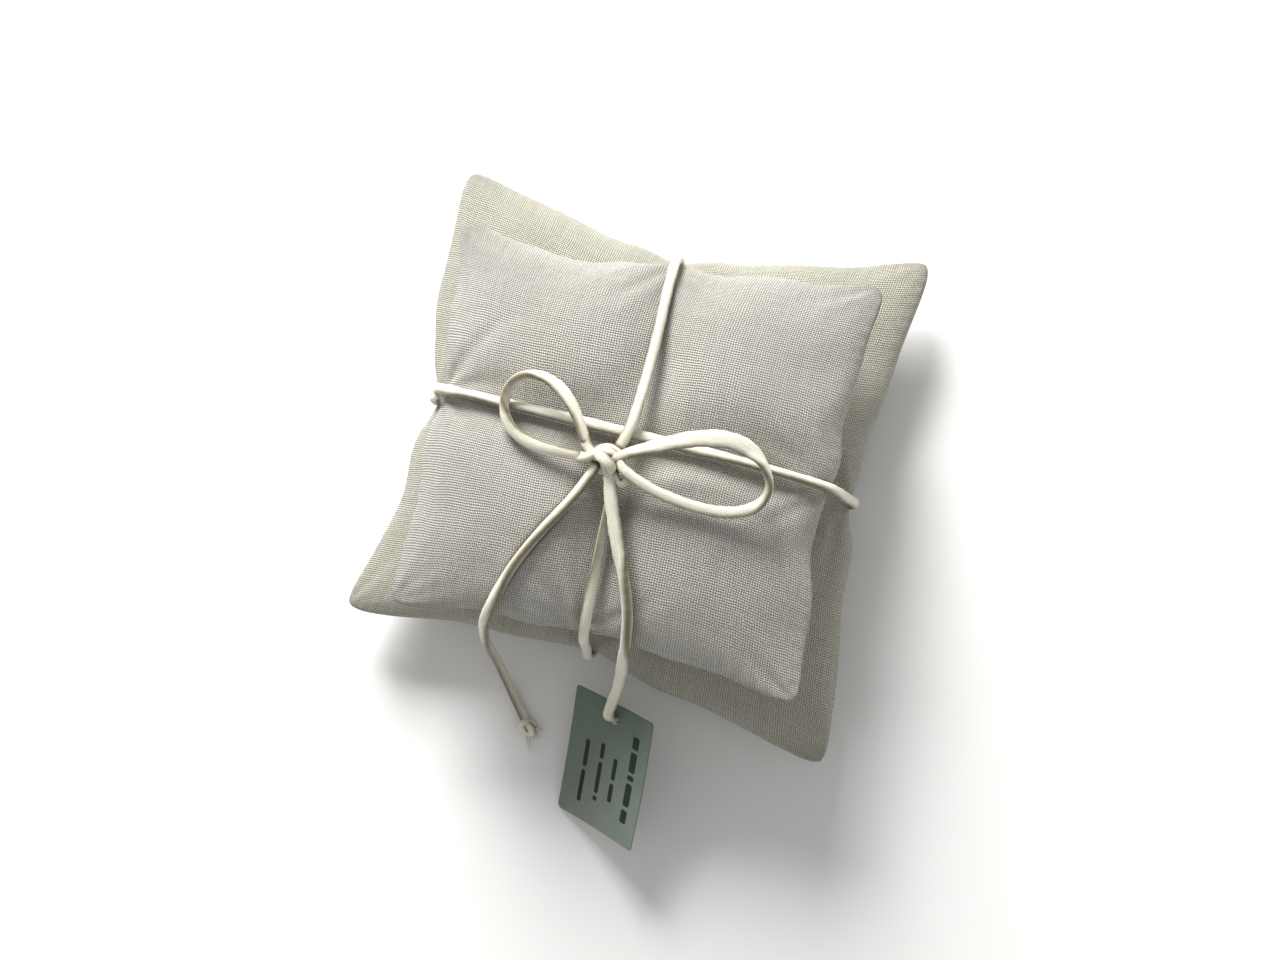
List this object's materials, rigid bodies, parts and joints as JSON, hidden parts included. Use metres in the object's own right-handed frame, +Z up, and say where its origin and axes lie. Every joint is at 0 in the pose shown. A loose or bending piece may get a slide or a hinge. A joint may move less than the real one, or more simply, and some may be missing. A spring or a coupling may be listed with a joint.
{
  "type": "ring bearer pillow",
  "caption": "Stack of a large and a small square linen cushion tied crosswise with a satin cord, with a bow and knotted tail on top and a small card tag on the other tail.",
  "frame": {"origin": "on the table under the middle of the two stacked pillows, cord tails and tag left out", "axes": "+Z up; +X along the lower pillow's near side, to the right seen from the tag's side; +Y away from the tag"},
  "size_m": [0.1533, 0.1922, 0.0683],
  "materials": {
    "linen_lower": "matte woven linen, greenish ivory",
    "linen_upper": "matte woven linen, warm white",
    "polyester_fibre": "loose white fibre",
    "sewing_thread": "matte sewing thread",
    "satin_cord": "soft satin sheen",
    "green_card": "matte coloured card",
    "tag_ink": "matte dark print"
  },
  "bodies": {
    "pillows": {"lower_cover_bottom_panel": "linen_lower", "lower_cover_top_panel": "linen_lower", "lower_filling": "polyester_fibre", "lower_seam_threads": "sewing_thread", "lower_closing_stitches": "sewing_thread", "upper_cover_bottom_panel": "linen_upper", "upper_cover_top_panel": "linen_upper", "upper_filling": "polyester_fibre", "upper_seam_threads": "sewing_thread", "upper_closing_stitches": "sewing_thread", "cord_band_crosswise": "satin_cord", "cord_band_lengthwise": "satin_cord", "bow_knot": "satin_cord", "cord_tail_left": "satin_cord", "tail_end_knot": "satin_cord", "tail_frayed_threads": "satin_cord", "cord_tail_tag": "satin_cord", "tag_stopper_knot": "satin_cord"},
    "loop_left": {"bow_loop_left": "satin_cord"},
    "loop_right": {"bow_loop_right": "satin_cord"},
    "tag": {"tag_card": "green_card", "tag_print": "tag_ink"}
  },
  "joints": [
    {"name": "left_loop_lift", "type": "hinge", "parent": "pillows", "child": "loop_left", "pos_m": [-0.00455, -0.01075, 0.0629], "axis": [0.0267, 0.9868, 0.16], "range_deg": [0, 60]},
    {"name": "right_loop_lift", "type": "hinge", "parent": "pillows", "child": "loop_right", "pos_m": [0.0073, -0.01105, 0.06415], "axis": [-0.0463, -0.9965, -0.0695], "range_deg": [0, 60]},
    {"name": "tag_swing", "type": "hinge", "parent": "pillows", "child": "tag", "pos_m": [0.01542, -0.08059, 0.02025], "axis": [-0.515, -0.305, 0.8011], "range_deg": [0, 60]}
  ]
}
